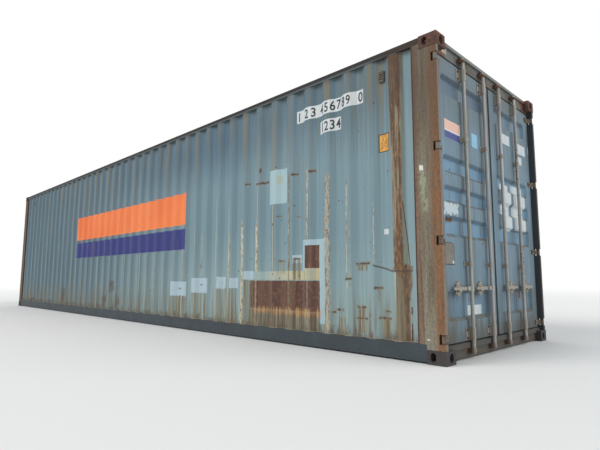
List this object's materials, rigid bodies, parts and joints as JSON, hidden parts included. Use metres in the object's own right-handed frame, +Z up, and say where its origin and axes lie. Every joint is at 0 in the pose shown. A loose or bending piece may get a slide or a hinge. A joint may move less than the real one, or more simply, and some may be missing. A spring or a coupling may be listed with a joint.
{
  "type": "shipping container",
  "caption": "Long corrugated steel freight container with a timber floor, corner castings and a pair of outward opening end doors with locking bars.",
  "frame": {"origin": "centre of the footprint, at the lower faces of the corner castings", "axes": "+X to the door end, +Z up, the left side as seen from the doors at -Y"},
  "size_m": [12.192, 2.438, 2.896],
  "materials": {
    "wall_paint": "faded chalky slate blue-grey paint with rust",
    "door_paint": "faded slate blue paint with rust",
    "roof_paint": "faded slate blue-grey paint",
    "post_paint": "paint mostly lost to brown rust",
    "rail_paint": "dark weathered paint with rust",
    "casting_steel": "dark reddish rust",
    "keeper_steel": "rusty forged steel",
    "galvanised_steel": "dull pale galvanised steel",
    "seal_rubber": "weathered black rubber",
    "floor_plywood": "worn plywood",
    "vent_plastic": "dirty dark plastic"
  },
  "bodies": {
    "root": {"bottom_castings": "casting_steel", "top_castings": "casting_steel", "rear_post_left": "post_paint", "rear_post_right": "post_paint", "front_post_left": "post_paint", "front_post_right": "post_paint", "bottom_rail_left": "rail_paint", "bottom_rail_right": "rail_paint", "top_rail_left": "rail_paint", "top_rail_right": "rail_paint", "side_wall_left": "wall_paint", "side_wall_right": "wall_paint", "front_wall": "wall_paint", "front_header": "wall_paint", "front_sill": "rail_paint", "roof": "roof_paint", "floor": "floor_plywood", "cross_members": "rail_paint", "gooseneck_tunnel": "rail_paint", "ventilators": "vent_plastic", "door_header": "door_paint", "door_sill": "door_paint", "header_keepers": "keeper_steel", "sill_keepers": "keeper_steel", "hinge_lugs": "keeper_steel"},
    "left_door": {"left_door_frame": "door_paint", "left_door_panel": "door_paint", "left_door_seal": "seal_rubber", "left_hinge_blades": "galvanised_steel", "left_bar_collars": "galvanised_steel", "left_handle_retainers": "galvanised_steel"},
    "right_door": {"right_door_frame": "door_paint", "right_door_panel": "door_paint", "right_door_seal": "seal_rubber", "right_hinge_blades": "galvanised_steel", "right_bar_collars": "galvanised_steel", "right_handle_retainers": "galvanised_steel"},
    "lock_bar_1": {"lock_bar_1": "galvanised_steel"},
    "handle_1": {"handle_1": "galvanised_steel"},
    "lock_bar_2": {"lock_bar_2": "galvanised_steel"},
    "handle_2": {"handle_2": "galvanised_steel"},
    "lock_bar_3": {"lock_bar_3": "galvanised_steel"},
    "handle_3": {"handle_3": "galvanised_steel"},
    "lock_bar_4": {"lock_bar_4": "galvanised_steel"},
    "handle_4": {"handle_4": "galvanised_steel"}
  },
  "joints": [
    {"name": "left_door_hinge", "type": "hinge", "parent": "root", "child": "left_door", "pos_m": [6.068, -1.197, 1.45], "axis": [0, 0, -1], "range_deg": [0, 264]},
    {"name": "right_door_hinge", "type": "hinge", "parent": "root", "child": "right_door", "pos_m": [6.068, 1.197, 1.45], "axis": [0, 0, 1], "range_deg": [0, 264]},
    {"name": "lock_bar_1_turn", "type": "hinge", "parent": "left_door", "child": "lock_bar_1", "pos_m": [6.068, -0.65, 1.45], "axis": [0, 0, -1], "range_deg": [-110, 0]},
    {"name": "lock_bar_2_turn", "type": "hinge", "parent": "left_door", "child": "lock_bar_2", "pos_m": [6.068, -0.195, 1.45], "axis": [0, 0, -1], "range_deg": [-110, 0]},
    {"name": "lock_bar_3_turn", "type": "hinge", "parent": "right_door", "child": "lock_bar_3", "pos_m": [6.068, 0.195, 1.45], "axis": [0, 0, 1], "range_deg": [-110, 0]},
    {"name": "lock_bar_4_turn", "type": "hinge", "parent": "right_door", "child": "lock_bar_4", "pos_m": [6.068, 0.65, 1.45], "axis": [0, 0, 1], "range_deg": [-110, 0]},
    {"name": "handle_1_lift", "type": "hinge", "parent": "lock_bar_1", "child": "handle_1", "pos_m": [6.054, -0.695, 0.625], "axis": [1, 0, 0], "range_deg": [-15, 0]},
    {"name": "handle_2_lift", "type": "hinge", "parent": "lock_bar_2", "child": "handle_2", "pos_m": [6.054, -0.24, 0.625], "axis": [1, 0, 0], "range_deg": [-15, 0]},
    {"name": "handle_3_lift", "type": "hinge", "parent": "lock_bar_3", "child": "handle_3", "pos_m": [6.054, 0.24, 0.625], "axis": [-1, 0, 0], "range_deg": [-15, 0]},
    {"name": "handle_4_lift", "type": "hinge", "parent": "lock_bar_4", "child": "handle_4", "pos_m": [6.054, 0.695, 0.625], "axis": [-1, 0, 0], "range_deg": [-15, 0]}
  ]
}
